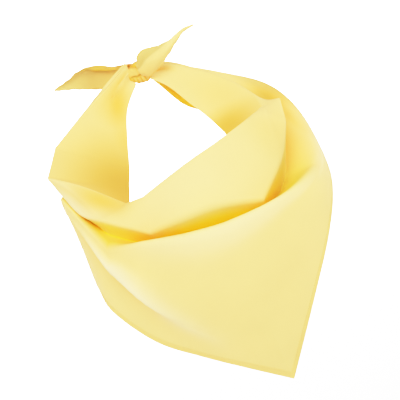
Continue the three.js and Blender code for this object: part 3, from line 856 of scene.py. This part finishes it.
def tail_grid(rows, side, length, width, place):
    """A loose corner, a cupped leaf whose upper layer is a step in front or behind, and the light and shade
    painted on it.
    """
    centres = [
        place + np.array((side * row["along"] * length, row["back"] * width, row["rise"] * length))
        for row in rows
    ]
    centre = np.array(centripetal(centres, TAIL_STEPS))
    ahead = np.gradient(centre, axis=0)
    ahead /= np.linalg.norm(ahead, axis=1, keepdims=True)
    up = np.array((0, 0, 1.0)) - ahead * ahead[:, 2:]
    up /= np.linalg.norm(up, axis=1, keepdims=True)
    back = np.cross(up, ahead) * side
    at = np.arange(len(centre)) / TAIL_STEPS
    at = np.floor(at) + smooth(at - np.floor(at))
    half, cup, seam, step = (
        np.interp(at, np.arange(len(rows)), [row[key] for row in rows])[:, None]
        for key in ("half", "cup", "seam", "step")
    )
    across = np.linspace(-1, 1, TAIL_ACROSS + 1)[None, :]
    layer = (1 + np.tanh((across - seam) / SEAM_EDGE)) / 2
    depth = width * (cup * (1 - across ** 2) - step * layer)
    grid = centre[:, None] + up[:, None] * (across * half * width)[..., None] + back[:, None] * depth[..., None]
    # Painted light and shade: warm shade beside the upper layer's edge and near the knot, bounce light beside
    # that edge on the corner behind, shade under the edge, and shade over the corner behind but for its upper
    # layer.
    behind = side < 0
    strength = np.clip(np.abs(step) / FULL_STEP, 0, 1)
    beside = np.where(step > 0, layer, 1 - layer) * hill(across, seam, SEAM_WARM_SHADE) * strength
    under = np.where(step > 0, 1 - layer, layer) * hill(across, seam, SEAM_SHADE) * strength
    root = hill(at, 0, TAIL_ROOT)[:, None]
    tints = {
        "painted_warm_shade": np.maximum(beside * LAYER_WARM_SHADE, root * ROOT_WARM_SHADE),
        "deep": beside * LAYER_BOUNCE_LIGHT * behind,
        "shade": np.maximum(under * UNDER_SHADE, BEHIND_SHADE * behind * (1 - layer * strength)),
    }
    if side > 0:
        grid = grid[:, ::-1]
        tints = {key: values[:, ::-1] for key, values in tints.items()}
    return grid, tints


class NECKERCHIEF_OT_tails(bpy.types.Operator):
    """Lets the two long corners out of the knot"""

    bl_idname = "neckerchief.tails"
    bl_label = "Loose corners"
    bl_options = {"REGISTER", "UNDO"}

    def execute(self, context):
        knot, cloth = context.scene.neckerchief_knot, context.scene.neckerchief_cloth
        place = knot_place(context)
        for name, node, rows, side, length, width, filled in (
            ("corner_left", "tail_left", LEFT_TAIL, -1, knot.left_length, knot.left_width, 1.10),
            ("corner_right", "tail_right", RIGHT_TAIL, 1, knot.right_length, knot.right_width, 0.85),
        ):
            grid, tints = tail_grid(rows, side, length, width, place)
            rim = np.zeros(grid.shape[:2])
            rim[:, :TAIL_RIM] = rim[:, -TAIL_RIM:] = 1
            obj = sheet_object(
                name, grid, flat_map(grid), {**tints, "hem": rim}, main_cotton(context.scene), cloth.thickness
            )
            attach(obj, "root")
            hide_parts(node)
        return {"FINISHED"}


class NECKERCHIEF_OT_stage(bpy.types.Operator):
    """Sets the floor, the lights and the camera"""

    bl_idname = "neckerchief.stage"
    bl_label = "Studio"
    bl_options = {"REGISTER", "UNDO"}

    def execute(self, context):
        scene = context.scene
        stage, finish = scene.neckerchief_stage, scene.neckerchief_finish
        bpy.ops.object.select_all(action="DESELECT")
        bpy.ops.mesh.primitive_plane_add(size=stage.floor_size, location=(0, 0, -stage.floor_depth))
        floor = context.object
        floor.name = "studio_floor"
        pale = bpy.data.materials.new("Studio floor, matt white paper")
        pale.use_nodes = True
        tree = pale.node_tree
        tree.nodes.clear()
        place = add_node(tree, "ShaderNodeTexCoord")
        grain = add_node(
            tree, "ShaderNodeTexNoise", [("Vector", place.outputs["Object"])], Scale=40.0, Detail=2.0
        )
        tone = add_node(
            tree, "ShaderNodeMapRange", [("Value", grain.outputs["Fac"])], **{"To Min": 0.985, "To Max": 1.0}
        )
        paper = add_node(tree, "ShaderNodeVectorMath", [("Scale", tone.outputs["Result"])], operation="SCALE")
        paper.inputs[0].default_value = finish.floor
        matt = add_node(tree, "ShaderNodeBsdfDiffuse", [("Color", paper.outputs["Vector"])])
        add_node(tree, "ShaderNodeOutputMaterial", [("Surface", matt.outputs["BSDF"])])
        floor.data.materials.append(pale)

        world = bpy.data.worlds.new("Studio")
        world.use_nodes = True
        background = world.node_tree.nodes["Background"]
        background.inputs["Color"].default_value = (1, 1, 1, 1)
        background.inputs["Strength"].default_value = stage.world
        scene.world = world
        for row in LIGHTS:
            light = bpy.data.lights.new(row["name"], "AREA")
            light.size = row["side"]
            light.spread = math.radians(row["spread"])
            light.energy = getattr(stage, row["setting"]) * row["share"]
            lamp = bpy.data.objects.new(row["name"], light)
            lamp.location = row["place"]
            facing = Vector(row["aim"]) - Vector(row["place"])
            lamp.rotation_euler = facing.to_track_quat("-Z", "Y").to_euler()
            scene.collection.objects.link(lamp)

        roll, raised = math.radians(ROLL), math.radians(RAISED)
        side = Vector((1, 0, 0))
        rise = Vector((0, math.sin(raised), math.cos(raised)))
        toward = Vector((0, -math.cos(raised), math.sin(raised)))
        right = side * math.cos(roll) - rise * math.sin(roll)
        up = side * math.sin(roll) + rise * math.cos(roll)
        centre = right * (PICTURE / 2 - NECK_AT[0]) * PIXEL + up * (NECK_AT[1] - PICTURE / 2) * PIXEL
        lens = bpy.data.cameras.new("camera")
        lens.sensor_width = SENSOR
        lens.lens = SENSOR * stage.camera_distance / (PICTURE * PIXEL)
        lens.clip_end = 60
        camera = bpy.data.objects.new("camera", lens)
        turned = Matrix((right, up, toward)).transposed().to_4x4()
        camera.matrix_world = Matrix.Translation(centre + toward * stage.camera_distance) @ turned
        scene.collection.objects.link(camera)
        scene.camera = camera
        view = scene.view_settings
        view.view_transform = "Standard"
        view.use_curve_mapping = True
        view.curve_mapping.white_level = (FILM_RANGE,) * 3
        curve = view.curve_mapping.curves[3]
        for light, shown in FILM_CURVE:
            curve.points.new(light / FILM_RANGE, shown)
        view.curve_mapping.update()
        scene.cycles.max_bounces = 16
        scene.cycles.diffuse_bounces = 10
        scene.cycles.transmission_bounces = 10
        return {"FINISHED"}


class NECKERCHIEF_OT_declare(bpy.types.Operator):
    """Does nothing: it adds no piece and changes nothing"""

    bl_idname = "neckerchief.declare"
    bl_label = "Cut of the cloth"
    bl_options = {"REGISTER", "UNDO"}

    def execute(self, context):
        return {"FINISHED"}


class NECKERCHIEF_PT_panel(bpy.types.Panel):
    """Lists the neckerchief's sizes and its pieces"""

    bl_idname = "NECKERCHIEF_PT_panel"
    bl_label = "Neckerchief"
    bl_space_type = "VIEW_3D"
    bl_region_type = "UI"
    bl_category = "Neckerchief"

    def draw(self, context):
        for owner, group in GROUPS.items():
            box = self.layout.box()
            for key in group.__annotations__:
                box.prop(getattr(context.scene, owner), key)
        for operator in OPERATORS:
            self.layout.operator(operator.bl_idname)


GROUPS = {
    "neckerchief_cloth": ClothSizes,
    "neckerchief_knot": KnotSizes,
    "neckerchief_stitch": StitchSizes,
    "neckerchief_finish": Finish,
    "neckerchief_stage": StageSettings,
}
OPERATORS = (
    NECKERCHIEF_OT_stage,
    NECKERCHIEF_OT_cloth,
    NECKERCHIEF_OT_hems,
    NECKERCHIEF_OT_stitches,
    NECKERCHIEF_OT_knot,
    NECKERCHIEF_OT_tails,
    NECKERCHIEF_OT_declare,
)


def register():
    for part in (*GROUPS.values(), *OPERATORS, NECKERCHIEF_PT_panel):
        bpy.utils.register_class(part)
    for owner, group in GROUPS.items():
        setattr(bpy.types.Scene, owner, PointerProperty(type=group))


def unregister():
    for owner in GROUPS:
        delattr(bpy.types.Scene, owner)
    for part in reversed((*GROUPS.values(), *OPERATORS, NECKERCHIEF_PT_panel)):
        bpy.utils.unregister_class(part)


def main():
    register()
    bpy.ops.neckerchief.stage()
    bpy.ops.neckerchief.cloth()
    bpy.ops.neckerchief.hems()
    bpy.ops.neckerchief.stitches()
    bpy.ops.neckerchief.knot()
    bpy.ops.neckerchief.tails()
    bpy.ops.neckerchief.declare()


if __name__ == "__main__":
    main()
